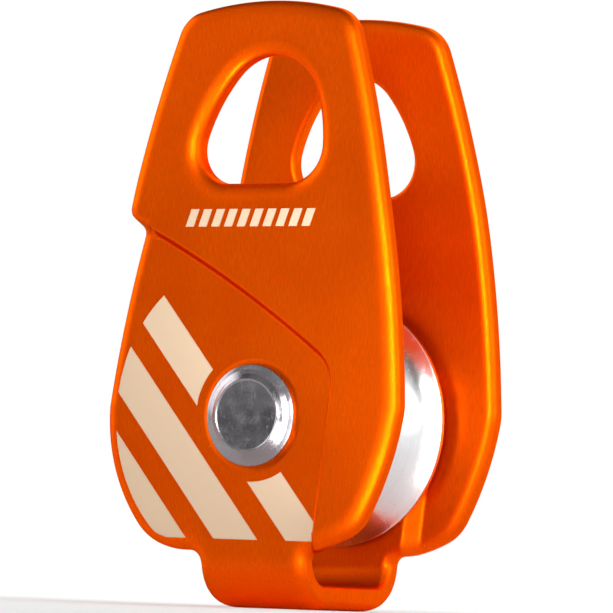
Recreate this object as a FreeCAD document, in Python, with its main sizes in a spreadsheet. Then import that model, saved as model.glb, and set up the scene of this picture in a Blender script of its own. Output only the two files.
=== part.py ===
import FreeCAD, Part
import math
import os
import Sketcher

# A compact rope pulley.  One bent aluminium strip makes both cheeks and the bridge that joins
# them below; a riveted axle carries a grooved sheave on two small sealed ball bearings.
#
# Frame of the part, in millimetres: the origin is the centre of the sheave on the axle.
# +Y runs along the axle from the near cheek (-Y) to the far cheek (+Y), +Z points up the
# cheeks to the carabiner eye, and +X is the side where the cheeks stand further apart.

doc = FreeCAD.newDocument("rope_pulley")

# ------------------------------------------------------------------ driving dimensions
SIZES = {
    # strip that makes the cheeks
    "plate_thick": 3.0,         # thickness of the strip
    "sunk_gap": 18.0,           # clear width between the sunk panels beside the sheave
    "panel_step": 1.6,          # how far the outer panels stand out from the sunk ones
    "bridge_drop": 24.0,        # axle down to the underside of the bridge
    "bridge_left": 7.3,         # edge of the bridge on the -X side
    "bridge_right": 8.3,        # and on the +X side
    "strip_long": 60.0,         # width of the blank strip along X, before it is trimmed
    "bend_outside": 6.2,        # outer radius of the two bends beside the bridge
    "cheek_foot": 17.0,         # axle down to the lower edge of the cheeks
    "lean_from": 27.3,          # height above which the cheeks lean inwards
    "lean_rise": 26.0,          # rise over which the lean is measured
    "lean_run": 1.6,            # how far each cheek leans in over that rise
    # outline of a cheek
    "top_half": 12.5,           # half width at the top corners before they are rounded
    "top_corner": 50.45,        # height of those corners
    "top_crown_radius": 44.0,   # crown radius of the top edge
    "crown_corner": 5.2,        # rounding of the top corner on the +X side
    "crown_corner_left": 4.4,   # the same on the -X side
    "side_radius": 174.0,       # gentle outward curve of the long sides
    "heel_start": 1.0,          # height where the long sides meet the lower end
    "heel_radius": 21.95,       # round lower end on the -X side, about the axle
    "heel_corner": 12.0,        # rounding where that end meets the foot
    "waist_top": 25.2,          # height of the small notch on the -X side
    "waist_top_half": 18.95,    # half width just above the notch
    "waist_low": 23.2,          # lower end of that notch
    "waist_half": 17.35,        # half width just below the notch
    "notch_corner": 1.2,        # rounding of the notch's corners
    "heel_side_radius": 43.0,   # curve of the lower end on the +X side
    "heel_side_corner": 8.0,    # rounding at its upper end
    "heel_turn": 16.6,          # its lower end along X
    "heel_turn_down": 13.9,     # and how far that lies below the axle
    "heel_turn_corner": 3.5,    # rounding there
    "foot_radius": 20.0,        # curve of the foot on the +X side
    "root_radius": 1.2,         # inside corner between the cheek's foot and the bridge, at -X
    "root_radius_right": 0.9,   # the same on the +X side, where the border comes close
    # border of the sunk panel
    "border_left": 22.0,        # distance from the axle plane to the border's far end
    "border_left_up": 26.23,    # height of that end
    "border_turn": 12.1,        # corner of the border, before rounding, along X
    "border_turn_up": 6.2,      # and its height
    "border_foot": 9.6,         # lower end of the border along X
    "border_curve": 160.0,      # radius of the border's long stretch
    "border_corner": 5.0,       # rounding of the border's corner
    "border_offset": 0.9,       # shift of the border between the two faces of the strip
    "border_shift_up": 0.54,    # the same for the height of the border's corner
    # carabiner eyes
    "eye_top": 38.17,           # centre height of an eye's round top
    "eye_top_radius": 7.25,     # radius of the near eye's round top
    "eye_top_aside": 0.9,       # how far that top lies towards +X
    "eye_top_radius_far": 6.5,  # radius of the far eye's round top, which lies in the middle
    "eye_flank": 21.5,          # radius of the two flanks
    "eye_corner": 4.7,          # radius of the lower corners
    "eye_corner_out": 4.3,      # centres of the lower corners along X
    "eye_foot": 29.1,           # height of an eye's lower edge
    # roundings of the strip
    "eye_rim": 1.0,             # rounding round the carabiner eyes
    "border_round": 0.75,       # rounding along the sunk panel's border
    # axle
    "axle_radius": 3.98,
    "axle_bore": 4.0,
    "head_radius": 6.4,         # both heads
    "head_rim": 0.5,            # height of the head's straight rim
    "head_high": 1.5,           # height of the head
    "head_disc": 4.3,           # radius of the flat disc on top of the head
    "head_dish": 0.12,          # depth of the disc below its lip
    "head_lip": 0.25,           # width of the lip round the disc
    "head_corner": 0.15,        # small rounding of the straight rim
    "head_round": 0.3,          # radius that draws it
    "head_flank": 3.2,          # hollow curve between the rim and the lip
    # sheave
    "flange_radius": 16.0,
    "sheave_half": 8.5,
    "groove_radius": 8.2,
    "tread_radius": 10.4,
    "shoulder_bore": 7.0,       # bore between the two bearings
    "flange_edge": 0.25,        # small rounding on the flange rims
    # bearings
    "bearing_outside": 8.0,
    "bearing_wide": 5.0,
    "bearing_face": 8.2,        # axle centre to the bearing's outer face
    "ring_land_in": 5.35,       # outside radius of the inner ring
    "ring_land_out": 6.65,      # inside radius of the outer ring
    "ball_radius": 1.0,
    "ball_circle": 6.0,
    "race_play": 0.02,          # radial play between a ball and a race
    "race_radius": 1.05,
    "seal_inside": 5.45,
    "seal_outside": 7.1,
    "seal_thick": 0.4,
    "seal_seat": 0.45,
    "cage_inside": 5.65,
    "cage_outside": 6.35,
    "cage_back": 1.5,
    "cage_front": 0.55,
    "cage_pocket": 1.06,
    # small rings
    "washer_outside": 5.6,
    "spacer_outside": 5.1,
}
BALLS = 9                       # balls in each bearing
OVERRUN = 1                     # how far a cut runs past the edge that it clears
SAME = 0.01                     # places closer than this count as one

sheet = doc.addObject("Spreadsheet::Sheet", "Sizes")
for row, (name, value) in enumerate(SIZES.items(), start=1):
    sheet.set("A%d" % row, name)
    sheet.set("B%d" % row, str(value))
    sheet.setAlias("B%d" % row, name)
doc.recompute()


class Length:
    """A length that knows its value and the sheet expression that gives it."""

    def __init__(self, value, text):
        self.value = value
        self.text = text

    def _join(self, other, sign, value):
        return Length(value, "(%s %s %s)" % (self.text, sign, other.text))

    def __add__(self, other):
        other = length(other)
        return self._join(other, "+", self.value + other.value)

    def __sub__(self, other):
        other = length(other)
        return self._join(other, "-", self.value - other.value)

    def __mul__(self, factor):
        return Length(self.value * factor, "(%s * %s)" % (self.text, factor))

    def __neg__(self):
        return Length(-self.value, "(-1 * %s)" % self.text)


def length(item):
    """A sheet alias, a plain number or a Length, as a Length."""
    if isinstance(item, Length):
        return item
    if isinstance(item, str):
        return Length(float(sheet.get(item)), "Sizes." + item)
    return Length(float(item), str(item))


def leg(slant, side):
    """The other short side of a right triangle with that slant and side."""
    slant, side = length(slant), length(side)
    return Length(math.sqrt(slant.value ** 2 - side.value ** 2),
                  "sqrt(%s * %s - %s * %s)" % (slant.text, slant.text, side.text, side.text))


# ------------------------------------------------------------------ sketch helpers
def origin_part(body, role):
    return next(item for item in body.Origin.OriginFeatures if item.Role == role)


def new_body(label):
    body = doc.addObject("PartDesign::Body", label)
    body.Label = label
    body.Placement = FreeCAD.Placement()
    return body


def new_sketch(body, name, plane, offset=None):
    """A sketch on one of the body's own planes, moved along the plane's normal by offset."""
    sketch = body.newObject("Sketcher::SketchObject", name)
    sketch.AttachmentSupport = [(origin_part(body, plane), "")]
    sketch.MapMode = "FlatFace"
    if offset is not None:
        sketch.setExpression("AttachmentOffset.Base.z", length(offset).text)
    doc.recompute()
    return sketch


def pin_point(sketch, geometry, end, x, y):
    """Fix an end or the centre of a sketch curve at a place given by two lengths."""
    for kind, item in (("DistanceX", length(x)), ("DistanceY", length(y))):
        index = sketch.addConstraint(
            Sketcher.Constraint(kind, -1, 1, geometry, end, item.value))
        sketch.setExpression("Constraints[%d]" % index, item.text)


def draw_loop(sketch, corners):
    """Draw one closed loop.

    Each corner is (x, y) or (x, y, radius, bulge); the last two make the stretch from that
    corner to the next one an arc instead of a line.
    """
    places = [FreeCAD.Vector(length(c[0]).value, length(c[1]).value, 0) for c in corners]
    first = sketch.GeometryCount
    count = len(corners)
    for number, corner in enumerate(corners):
        start, stop = places[number], places[(number + 1) % count]
        if len(corner) == 2:
            sketch.addGeometry(Part.LineSegment(start, stop))
            continue
        radius, bulge = length(corner[2]), corner[3]
        chord = stop - start
        left = FreeCAD.Vector(-chord.y, chord.x, 0).normalize()
        sagitta = radius.value - math.sqrt(radius.value ** 2 - (chord.Length / 2) ** 2)
        middle = (start + stop) * 0.5 + left * (bulge * sagitta)
        sketch.addGeometry(Part.Arc(start, middle, stop))
    for number, corner in enumerate(corners):
        this, following = first + number, first + (number + 1) % count
        start_end = end_at(sketch, this, places[number])
        pin_point(sketch, this, start_end, corner[0], corner[1])
        sketch.addConstraint(Sketcher.Constraint(
            "Coincident", this, 3 - start_end,
            following, end_at(sketch, following, places[(number + 1) % count])))
        if len(corner) == 4:
            index = sketch.addConstraint(
                Sketcher.Constraint("Radius", this, length(corner[2]).value))
            sketch.setExpression("Constraints[%d]" % index, length(corner[2]).text)


def draw_circle(sketch, x, radius):
    """A circle whose centre lies on the sketch's horizontal axis."""
    centre = FreeCAD.Vector(length(x).value, 0, 0)
    circle = sketch.addGeometry(
        Part.Circle(centre, FreeCAD.Vector(0, 0, 1), length(radius).value))
    pin_point(sketch, circle, 3, x, 0)
    index = sketch.addConstraint(Sketcher.Constraint("Radius", circle, length(radius).value))
    sketch.setExpression("Constraints[%d]" % index, length(radius).text)


def end_at(sketch, geometry, place):
    """1 or 2: the end of a line or arc that lies at the given place."""
    if sketch.getPoint(geometry, 1).distanceToPoint(place) < SAME:
        return 1
    return 2


def pad(body, sketch, size):
    feature = body.newObject("PartDesign::Pad", sketch.Name + "_pad")
    feature.Profile = sketch
    feature.Midplane = True
    feature.setExpression("Length", length(size).text)
    doc.recompute()
    return feature


def pocket(body, sketch, size=None, midplane=False, reverse=False):
    """Cut the sketch's region away: through everything, or over a given length."""
    before = body.Shape.Volume
    feature = body.newObject("PartDesign::Pocket", sketch.Name + "_cut")
    feature.Profile = sketch
    feature.Midplane = midplane
    feature.Reversed = reverse
    if size is None:
        feature.Type = "ThroughAll"
    else:
        feature.setExpression("Length", length(size).text)
    doc.recompute()
    if body.Shape.Volume > before - SAME:
        raise RuntimeError(feature.Name + " cuts nothing")
    return feature


def round_edges(body, name, radius, wanted):
    """Round every edge of the body for which wanted(edge) is true."""
    base = body.Tip
    picked = ["Edge%d" % (n + 1) for n, edge in enumerate(base.Shape.Edges) if wanted(edge)]
    if not picked:
        raise RuntimeError(name + " found no edge")
    feature = body.newObject("PartDesign::Fillet", name)
    feature.Base = (base, picked)
    feature.setExpression("Radius", length(radius).text)
    doc.recompute()
    if "Invalid" in feature.State or feature.Shape.isNull():
        raise RuntimeError(name + " failed")
    return feature


def turned(label, corners):
    """A body of revolution about the axle: corners are (radius, y) pairs of its section."""
    body = new_body(label)
    sketch = new_sketch(body, label + "_section", "XY_Plane")
    draw_loop(sketch, corners)
    doc.recompute()
    feature = body.newObject("PartDesign::Revolution", label + "_turn")
    feature.Profile = sketch
    feature.ReferenceAxis = (sketch, ["V_Axis"])
    feature.Angle = 360
    doc.recompute()
    return body


# ------------------------------------------------------------------ cheeks and bridge
def eye_side(top_x, top_radius, side):
    """The knee and the shoulder of an eye's flank on one side, where its arcs meet.

    The flank's circle touches the top circle and a corner circle from outside, which places
    its centre at known distances from their centres.
    """
    flank, corner = length("eye_flank").value, length("eye_corner").value
    top = length(top_radius).value
    low = FreeCAD.Vector(length("eye_corner_out").value, length("eye_foot").value + corner, 0)
    high = FreeCAD.Vector(side * length(top_x).value, length("eye_top").value, 0)
    between = high - low
    along = ((flank - corner) ** 2 - (flank - top) ** 2 + between.Length ** 2) / 2 / between.Length
    across = math.sqrt((flank - corner) ** 2 - along ** 2)
    way = FreeCAD.Vector(between).normalize()
    centre = low + way * along + FreeCAD.Vector(-way.y, way.x, 0) * across
    knee = centre + (low - centre).normalize() * flank
    shoulder = centre + (high - centre).normalize() * flank
    return (side * knee.x, knee.y), (side * shoulder.x, shoulder.y)


def eye_corners(top_x, top_radius):
    """Outline of a carabiner eye: a round top, two flanks and two lower corners, all tangent."""
    knee, shoulder = eye_side(top_x, top_radius, 1)
    left_knee, left_shoulder = eye_side(top_x, top_radius, -1)
    foot_x = length("eye_corner_out")
    return [
        (foot_x, "eye_foot", "eye_corner", -1), knee + ("eye_flank", -1),
        shoulder + (top_radius, -1), left_shoulder + ("eye_flank", -1),
        left_knee + ("eye_corner", -1), (-foot_x, "eye_foot")]


def make_side_plates():
    body = new_body("side_plates")
    sunk_in = length("sunk_gap") * 0.5
    sunk_out = sunk_in + "plate_thick"
    outer_in = sunk_in + "panel_step"
    outer_out = sunk_out + "panel_step"
    lean_in = outer_in - "lean_run"
    lean_out = outer_out - "lean_run"
    lean_top = length("lean_from") + "lean_rise"
    bridge_top = length("plate_thick") - "bridge_drop"
    foot = -length("cheek_foot")
    shift = length("border_offset")
    ledge = length("border_left_up") + shift

    # Section across the axle: a U whose legs are thick enough for both panel levels.
    section = new_sketch(body, "strip_section", "YZ_Plane")
    half = [
        (sunk_out, -length("bridge_drop")), (sunk_out, foot), (outer_out, foot),
        (outer_out, "lean_from"), (lean_out, lean_top), (lean_in, lean_top),
        (outer_in, "lean_from"), (outer_in, ledge), (sunk_in, ledge), (sunk_in, bridge_top)]
    other = [(-y, z) for y, z in reversed(half)]
    draw_loop(section, half + other)
    pad(body, section, "strip_long")

    def bend_edge(half_width, height):
        return lambda edge: (edge.BoundBox.XLength > length("strip_long").value - SAME
                             and abs(abs(edge.CenterOfMass.y) - half_width.value) < SAME
                             and abs(edge.CenterOfMass.z - height.value) < SAME)

    round_edges(body, "outer_bends", "bend_outside", bend_edge(sunk_out, -length("bridge_drop")))
    round_edges(body, "inner_bends", length("bend_outside") - "plate_thick",
                bend_edge(sunk_in, bridge_top))

    # The sunk panel: the outer face steps in beyond the border, the inner face steps out.
    edge_x = length("strip_long") * 0.5
    border = [
        (-length("border_left"), "border_left_up", "border_curve", 1),
        ("border_turn", "border_turn_up"), ("border_foot", foot - OVERRUN)]
    for side, reverse in (("near", True), ("far", False)):
        offset = sunk_out if side == "near" else -sunk_out
        hollow = new_sketch(body, side + "_outer_hollow", "XZ_Plane", offset)
        draw_loop(hollow, border + [(-edge_x, foot - OVERRUN), (-edge_x, "border_left_up")])
        pocket(body, hollow, reverse=reverse)

    inner_border = [
        (-length("border_left"), ledge, "border_curve", 1),
        (length("border_turn") + shift, length("border_turn_up") + "border_shift_up"),
        (length("border_foot") + shift, foot - OVERRUN)]
    relief = new_sketch(body, "inner_hollow", "XZ_Plane")
    draw_loop(relief, inner_border + [(edge_x, foot - OVERRUN), (edge_x, ledge)])
    pocket(body, relief, outer_in * 2, midplane=True)

    # Cut away everything outside the outline of a cheek and its half of the bridge.
    outline = new_sketch(body, "outline", "XZ_Plane")
    side_x = leg("heel_radius", "heel_start")
    heel_x = leg("heel_radius", "cheek_foot")
    bottom = -length("bridge_drop") - OVERRUN
    turn = ("heel_turn", -length("heel_turn_down"))
    right = [
        ("bridge_right", bottom), ("bridge_right", foot, "foot_radius", -1),
        turn + ("heel_side_radius", -1), (side_x, "heel_start", "side_radius", -1),
        ("top_half", "top_corner", "top_crown_radius", -1)]
    left = [
        (-length("top_half"), "top_corner", "side_radius", -1),
        (-length("waist_top_half"), "waist_top"),
        (-length("waist_half"), "waist_low", "side_radius", -1),
        (-side_x, "heel_start", "heel_radius", -1),
        (-heel_x, foot), (-length("bridge_left"), foot), (-length("bridge_left"), bottom)]
    draw_loop(outline, right + left)
    around = length("strip_long") * 1.5
    draw_loop(outline, [(-around, -around), (around, -around), (around, around), (-around, around)])
    pocket(body, outline, midplane=True)

    # A carabiner eye in each cheek, and the axle bore through both.
    for side, top_x, top_radius, reverse in (
            ("near", "eye_top_aside", "eye_top_radius", True),
            ("far", 0, "eye_top_radius_far", False)):
        eye = new_sketch(body, side + "_eye", "XZ_Plane")
        draw_loop(eye, eye_corners(top_x, top_radius))
        pocket(body, eye, reverse=reverse)
    bore = new_sketch(body, "axle_bore", "XZ_Plane")
    draw_circle(bore, 0, "axle_bore")
    pocket(body, bore, midplane=True)

    # Rounded corners of the outline, of the small notch and of the panel border.
    def upright(*places):
        def wanted(edge):
            box, centre = edge.BoundBox, edge.CenterOfMass
            return (box.XLength < SAME and box.ZLength < SAME and any(
                abs(centre.x - length(x).value) < SAME and abs(centre.z - length(z).value) < SAME
                for x, z in places))
        return wanted

    round_edges(body, "heel_corners", "heel_corner", upright((-heel_x, foot)))
    round_edges(body, "heel_turns", "heel_turn_corner", upright(turn))
    round_edges(body, "heel_sides", "heel_side_corner", upright((side_x, "heel_start")))
    round_edges(body, "right_top_corner", "crown_corner", upright(("top_half", "top_corner")))
    round_edges(body, "left_top_corner", "crown_corner_left",
                upright((-length("top_half"), "top_corner")))
    round_edges(body, "border_corners", "border_corner", upright(
        ("border_turn", "border_turn_up"), (inner_border[1][0], inner_border[1][1])))
    round_edges(body, "notch_corners", "notch_corner", upright(
        (-length("waist_top_half"), "waist_top"), (-length("waist_half"), "waist_low")))
    round_edges(body, "left_root", "root_radius", upright((-length("bridge_left"), foot)))
    round_edges(body, "right_root", "root_radius_right", upright(("bridge_right", foot)))

    # Soft steps along the border of the sunk panel, on both faces of the strip.
    core = ((sunk_out + outer_in) * 0.5).value

    def middle_of(edge):
        return edge.valueAt((edge.FirstParameter + edge.LastParameter) / 2)

    def at_rim(edge):
        """True where the strip's material ends beside the edge."""
        middle, shape = middle_of(edge), body.Tip.BaseFeature.Shape
        depth = math.copysign(core, middle.y)
        return middle.z < foot.value - SAME or not all(
            shape.isInside(FreeCAD.Vector(middle.x + dx, depth, middle.z + dz), SAME, True)
            for dx, dz in ((probe, 0), (-probe, 0), (0, probe), (0, -probe)))

    def along_border(edge):
        box = edge.BoundBox
        level = box.YLength < SAME and abs(box.ZMin - length("lean_from").value) > SAME
        return level and not at_rim(edge)

    probe = 0.3
    round_edges(body, "border_rounding", "border_round", along_border)

    # Rounded rims round both eyes.
    def eye_rims(outer_face):
        def wanted(edge):
            box, middle = edge.BoundBox, middle_of(edge)
            crossing = box.XLength < SAME and box.ZLength < SAME
            in_eye = abs(middle.x) < eye_x.value + OVERRUN and eye_low < middle.z < eye_high
            return in_eye and not crossing and (abs(middle.y) > core) == outer_face
        return wanted

    eye_x = length("eye_corner_out") + "eye_corner"
    eye_low = length("eye_foot").value - SAME
    eye_high = (length("eye_top") + "eye_top_radius").value + OVERRUN
    round_edges(body, "eye_rims_outside", "eye_rim", eye_rims(True))
    round_edges(body, "eye_rims_inside", "eye_rim", eye_rims(False))
    return body


# ------------------------------------------------------------------ axle and small rings
def make_axle_rivet():
    """Stepped rivet: a shank through both cheeks and a low dished head on each outer side."""
    plate_out = length("sunk_gap") * 0.5 + "plate_thick"
    head_out = plate_out + "head_high"
    rim_out = plate_out + "head_rim"
    lip = length("head_disc") + "head_lip"
    floor_out = head_out - "head_dish"
    far = [
        ("axle_radius", plate_out), ("head_radius", plate_out),
        ("head_radius", rim_out - "head_corner", "head_round", -1),
        (length("head_radius") - "head_corner", rim_out, "head_flank", 1),
        (lip, head_out), ("head_disc", floor_out)]
    near = [(x, -length(y)) for x, y, *curve in reversed(far)]
    near[1] = near[1] + ("head_flank", 1)
    near[2] = near[2] + ("head_round", -1)
    return turned("axle_rivet", [(0, -floor_out)] + near + far + [(0, floor_out)])


def make_ring(label, inside, outside, low, high):
    """A plain ring about the axle between two places along it."""
    return turned(label, [(inside, low), (outside, low), (outside, high), (inside, high)])


def make_small_rings():
    cheek = length("sunk_gap") * 0.5
    face = length("bearing_face")
    gap_end = face - "bearing_wide"
    return [
        make_ring("near_washer", "axle_bore", "washer_outside", -cheek, -face),
        make_ring("far_washer", "axle_bore", "washer_outside", face, cheek),
        make_ring("bearing_spacer", "axle_bore", "spacer_outside", -gap_end, gap_end)]


# ------------------------------------------------------------------ sheave
def make_sheave():
    """Grooved wheel with a bearing seat in each side and a shoulder between the seats."""
    half = length("sheave_half")
    gap_end = length("bearing_face") - "bearing_wide"
    groove = length("groove_radius")
    centre_out = length("tread_radius").value + groove.value
    lip_y = math.sqrt(groove.value ** 2 - (centre_out - length("flange_radius").value) ** 2)
    edge = length("flange_edge")
    flange = length("flange_radius")
    return turned("sheave", [
        ("shoulder_bore", -gap_end), ("bearing_outside", -gap_end), ("bearing_outside", -half),
        (flange - edge, -half), (flange, -(half - edge)), (flange, -lip_y, groove, 1),
        ("tread_radius", 0, groove, 1), (flange, lip_y), (flange, half - edge),
        (flange - edge, half), ("bearing_outside", half), ("bearing_outside", gap_end),
        ("shoulder_bore", gap_end)])


# ------------------------------------------------------------------ sealed ball bearings
def make_bearing(side, direction):
    """Pieces of one bearing; direction is -1 for the near side and 1 for the far side."""
    half = length("bearing_wide") * 0.5
    middle = (length("bearing_face") - half) * direction
    race = length("race_radius")
    play = length("ball_radius") + "race_play"
    inner_centre = (length("ball_circle") - play + race).value
    outer_centre = (length("ball_circle") + play - race).value
    inner_y = math.sqrt(race.value ** 2 - (inner_centre - length("ring_land_in").value) ** 2)
    outer_y = math.sqrt(race.value ** 2 - (outer_centre - length("ring_land_out").value) ** 2)

    inner_ring = turned(side + "_bearing_inner_ring", [
        ("axle_bore", middle - half), ("ring_land_in", middle - half),
        ("ring_land_in", middle - inner_y, race, 1), ("ring_land_in", middle + inner_y),
        ("ring_land_in", middle + half), ("axle_bore", middle + half)])
    seat = length("seal_seat")
    outer_ring = turned(side + "_bearing_outer_ring", [
        ("bearing_outside", middle + half), ("seal_outside", middle + half),
        ("seal_outside", middle + half - seat), ("ring_land_out", middle + half - seat),
        ("ring_land_out", middle + outer_y, race, 1), ("ring_land_out", middle - outer_y),
        ("ring_land_out", middle - half + seat), ("seal_outside", middle - half + seat),
        ("seal_outside", middle - half), ("bearing_outside", middle - half)])
    seals = []
    for place, sign in (("outer", direction), ("inner", -direction)):
        seal_face = middle + (half - seat) * sign
        other_face = seal_face + length("seal_thick") * sign
        low, high = sorted((seal_face, other_face), key=lambda item: item.value)
        seals.append(make_ring("%s_bearing_%s_seal" % (side, place),
                               "seal_inside", "seal_outside", low, high))

    balls = []
    for number in range(BALLS):
        angle = 2 * math.pi * number / BALLS
        ball = doc.addObject("Part::Sphere", "%s_ball_%d" % (side, number + 1))
        ball.Label = ball.Name
        ball.setExpression("Radius", "Sizes.ball_radius")
        ball.setExpression("Placement.Base.x", "Sizes.ball_circle * %.9f" % math.cos(angle))
        ball.setExpression("Placement.Base.y", middle.text)
        ball.setExpression("Placement.Base.z", "Sizes.ball_circle * %.9f" % math.sin(angle))
        balls.append(ball)

    return [inner_ring, outer_ring, make_cage(side, direction, middle)] + seals + balls


def make_cage(side, direction, middle):
    """Crown cage: a ring with a round pocket for each ball, open towards the axle's middle."""
    label = side + "_bearing_cage"
    back = middle + length("cage_back") * direction
    front = middle - length("cage_front") * direction
    low, high = sorted((back, front), key=lambda item: item.value)
    body = make_ring(label, "cage_inside", "cage_outside", low, high)
    circle = new_sketch(body, label + "_pocket", "YZ_Plane")
    draw_circle(circle, middle, "cage_pocket")
    cut = pocket(body, circle, length("cage_outside") + OVERRUN, reverse=True)
    ring_of_pockets = body.newObject("PartDesign::PolarPattern", label + "_pockets")
    ring_of_pockets.Originals = [cut]
    ring_of_pockets.Axis = (origin_part(body, "Y_Axis"), [""])
    ring_of_pockets.Angle = 360
    ring_of_pockets.Occurrences = BALLS
    body.Tip = ring_of_pockets
    doc.recompute()
    return body


# ------------------------------------------------------------------ build, check, write
PIECES = [make_side_plates(), make_axle_rivet(), make_sheave()] + make_small_rings()
PIECES += make_bearing("near", -1) + make_bearing("far", 1)
doc.recompute()
for item in doc.Objects:
    if "Invalid" in item.State or "Error" in item.State:
        raise RuntimeError("%s is %s" % (item.Name, item.State))
os.makedirs("parts", exist_ok=True)
for piece in PIECES:
    if piece.Shape.isNull() or not piece.Shape.isValid():
        raise RuntimeError(piece.Label + " has no valid shape")
    piece.Shape.exportStep("parts/%s.step" % piece.Label)
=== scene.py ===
import math

import bpy
import numpy as np
from mathutils import Matrix, Vector
from mathutils.geometry import delaunay_2d_cdt
from mathutils.kdtree import KDTree


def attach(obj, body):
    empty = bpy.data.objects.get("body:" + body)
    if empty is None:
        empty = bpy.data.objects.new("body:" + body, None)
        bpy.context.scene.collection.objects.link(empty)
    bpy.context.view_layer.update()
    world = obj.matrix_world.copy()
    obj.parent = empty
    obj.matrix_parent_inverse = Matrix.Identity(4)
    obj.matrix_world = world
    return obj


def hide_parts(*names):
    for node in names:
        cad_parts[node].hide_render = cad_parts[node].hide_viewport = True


# A compact rope pulley: one bent, coined and anodised aluminium strip makes both cheeks and the
# bridge below them, and a steel rivet carries the turned aluminium sheave between the cheeks.
# Lengths in this file are millimetres in the part's own frame; MM turns them into metres.

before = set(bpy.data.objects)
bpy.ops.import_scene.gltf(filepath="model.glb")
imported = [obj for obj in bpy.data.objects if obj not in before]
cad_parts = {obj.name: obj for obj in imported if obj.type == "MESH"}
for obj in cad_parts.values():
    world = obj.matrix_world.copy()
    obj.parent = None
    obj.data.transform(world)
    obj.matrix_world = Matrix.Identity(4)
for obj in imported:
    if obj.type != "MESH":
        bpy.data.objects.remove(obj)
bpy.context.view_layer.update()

MM = 0.001

# ------------------------------------------------------------------ sizes of the strip
THICK = 3.0                     # thickness of the strip
SUNK_GAP = 18.0                 # clear width between the sunk panels
PANEL_STEP = 1.6                # how far the outer panels stand out from the sunk ones
BRIDGE_DROP = 24.0              # axle down to the underside of the bridge
BRIDGE_LEFT, BRIDGE_RIGHT = 7.3, 8.3                    # its two edges along X
BEND_OUTSIDE = 6.2              # outer radius of the bends beside the bridge
FOOT = 17.0                     # axle down to the lower edge of the cheeks
LEAN_FROM, LEAN_TO = 23.5, 31.1  # heights between which the cheeks begin to lean inwards
LEAN_SLOPE = 1.6 / 26.0         # lean of the upper part of the cheeks

TOP_HALF, TOP_CORNER, TOP_CROWN = 12.5, 50.45, 44.0     # top edge: half width, height, radius
CROWN_CORNER, CROWN_CORNER_LEFT = 5.2, 4.4
SIDE_RADIUS = 174.0             # long sides
HEEL_START = 1.0                # height where the long sides meet the lower end
HEEL_RADIUS, HEEL_CORNER = 21.95, 12.0                  # lower end on the -X side
HEEL_SIDE, HEEL_SIDE_CORNER = 43.0, 8.0                 # lower end on the +X side
HEEL_TURN, HEEL_TURN_CORNER = (16.6, -13.9), 8.0
FOOT_RADIUS = 20.0
WAIST_HALF_TOP, WAIST_TOP = 18.95, 25.2                 # small notch on the -X side
WAIST_HALF_LOW, WAIST_LOW = 17.35, 23.2
NOTCH_OUTSIDE, NOTCH_INSIDE = 2.8, 1.2
ROOT_LEFT, ROOT_RIGHT = 1.8, 1.3                        # between the foot and the bridge
OUTLINE_STEP = 0.3              # spacing of points along the outline

EYE_TOP = 38.17                 # centre height of an eye's round top
EYE_TOP_NEAR = (0.9, 7.25)      # how far that top lies towards +X, and its radius
EYE_TOP_FAR = (0.0, 6.5)        # the same for the far cheek's eye
EYE_FLANK = 21.5                # flanks of an eye
EYE_CORNER, EYE_CORNER_OUT, EYE_FOOT = 4.7, 4.3, 29.1   # its lower corners
BORE = 4.0                      # axle bore

BORDER_START = (-22.0, 26.23)   # border between the sunk panel and the outer panel
BORDER_TURN = (12.1, 6.2)
BORDER_END = (9.6, -18.0)
BORDER_RADIUS, BORDER_CORNER = 160.0, 5.0
BORDER_SHIFT = 0.9              # shift of the step between the outer and the inner face
STEP_WIDE, STEP_WIDE_INSIDE = 1.25, 2.2                 # width of its soft step on the two faces

# Coined rims: (width, depth) of the rounding on the outer and the inner face.
OUTLINE_RIMS = ((2.4, 1.1), (1.6, 1.2))
EYE_RIMS = ((2.4, 1.3), (0.7, 0.5))
BORE_RIMS = ((0.2, 0.1), (0.2, 0.1))
CREASE_WIDE = 0.35              # half width of the painted shade line along the step
BRIDGE_RIM = 0.35               # share of the inner rim that is left along the bridge
RIM_ROWS = 9                    # rows of faces across a rim
SKIN_STEP = 0.8                 # spacing of points on the open panels

# ------------------------------------------------------------------ sizes of the turned parts
HEAD_RADIUS, HEAD_RIM, HEAD_HIGH = 6.4, 0.5, 1.5        # rivet heads
HEAD_DISC, HEAD_LIP, HEAD_DISH = 4.3, 0.25, 0.12
HEAD_SAG = 0.14                 # hollow of the flank between rim and disc
DIP_WIDE, DIP_DEEP = 0.8, 0.14  # soft dip of the cheek round a rivet head
SHANK = 3.98
FLANGE_RADIUS, SHEAVE_HALF = 16.0, 8.5                  # sheave
GROOVE_RADIUS, TREAD_RADIUS = 8.2, 10.4
BEARING_SEAT, SEAT_DEPTH, SHOULDER_BORE = 8.0, 5.3, 7.0
TURNS = 180                     # facets round a turned part

# ------------------------------------------------------------------ sizes of the print
STRIPE_WAY = (0.77, 0.64)       # direction across the stripes, along X and Z
STRIPE_PITCH, STRIPE_GAP = 8.2, 3.2
STRIPE_SHIFT, STRIPE_END = -1.0, -1.0                   # places of the stripes and of their end
STRIPE_RING = (8.3, 20.4)       # distances from the axle between which the stripes lie
STRIPE_LOW = -15.5              # their lower end
BAR_PITCH, BAR_GAP, BAR_SHEAR = 1.9, 0.7, 0.35          # small bars below the eye
BAR_SHIFT, BARS_HALF = 9.0, 9.3                         # middle and half width of their row, sheared
BARS_UP, BARS_HALF_HIGH = 24.7, 1.1
PRINT_SLACK = (0.05, 0.15)      # how near to the sunk face the stripes lie, outside and inside
BARS_FACE = 13.0                # the bars lie further out than this

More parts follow.
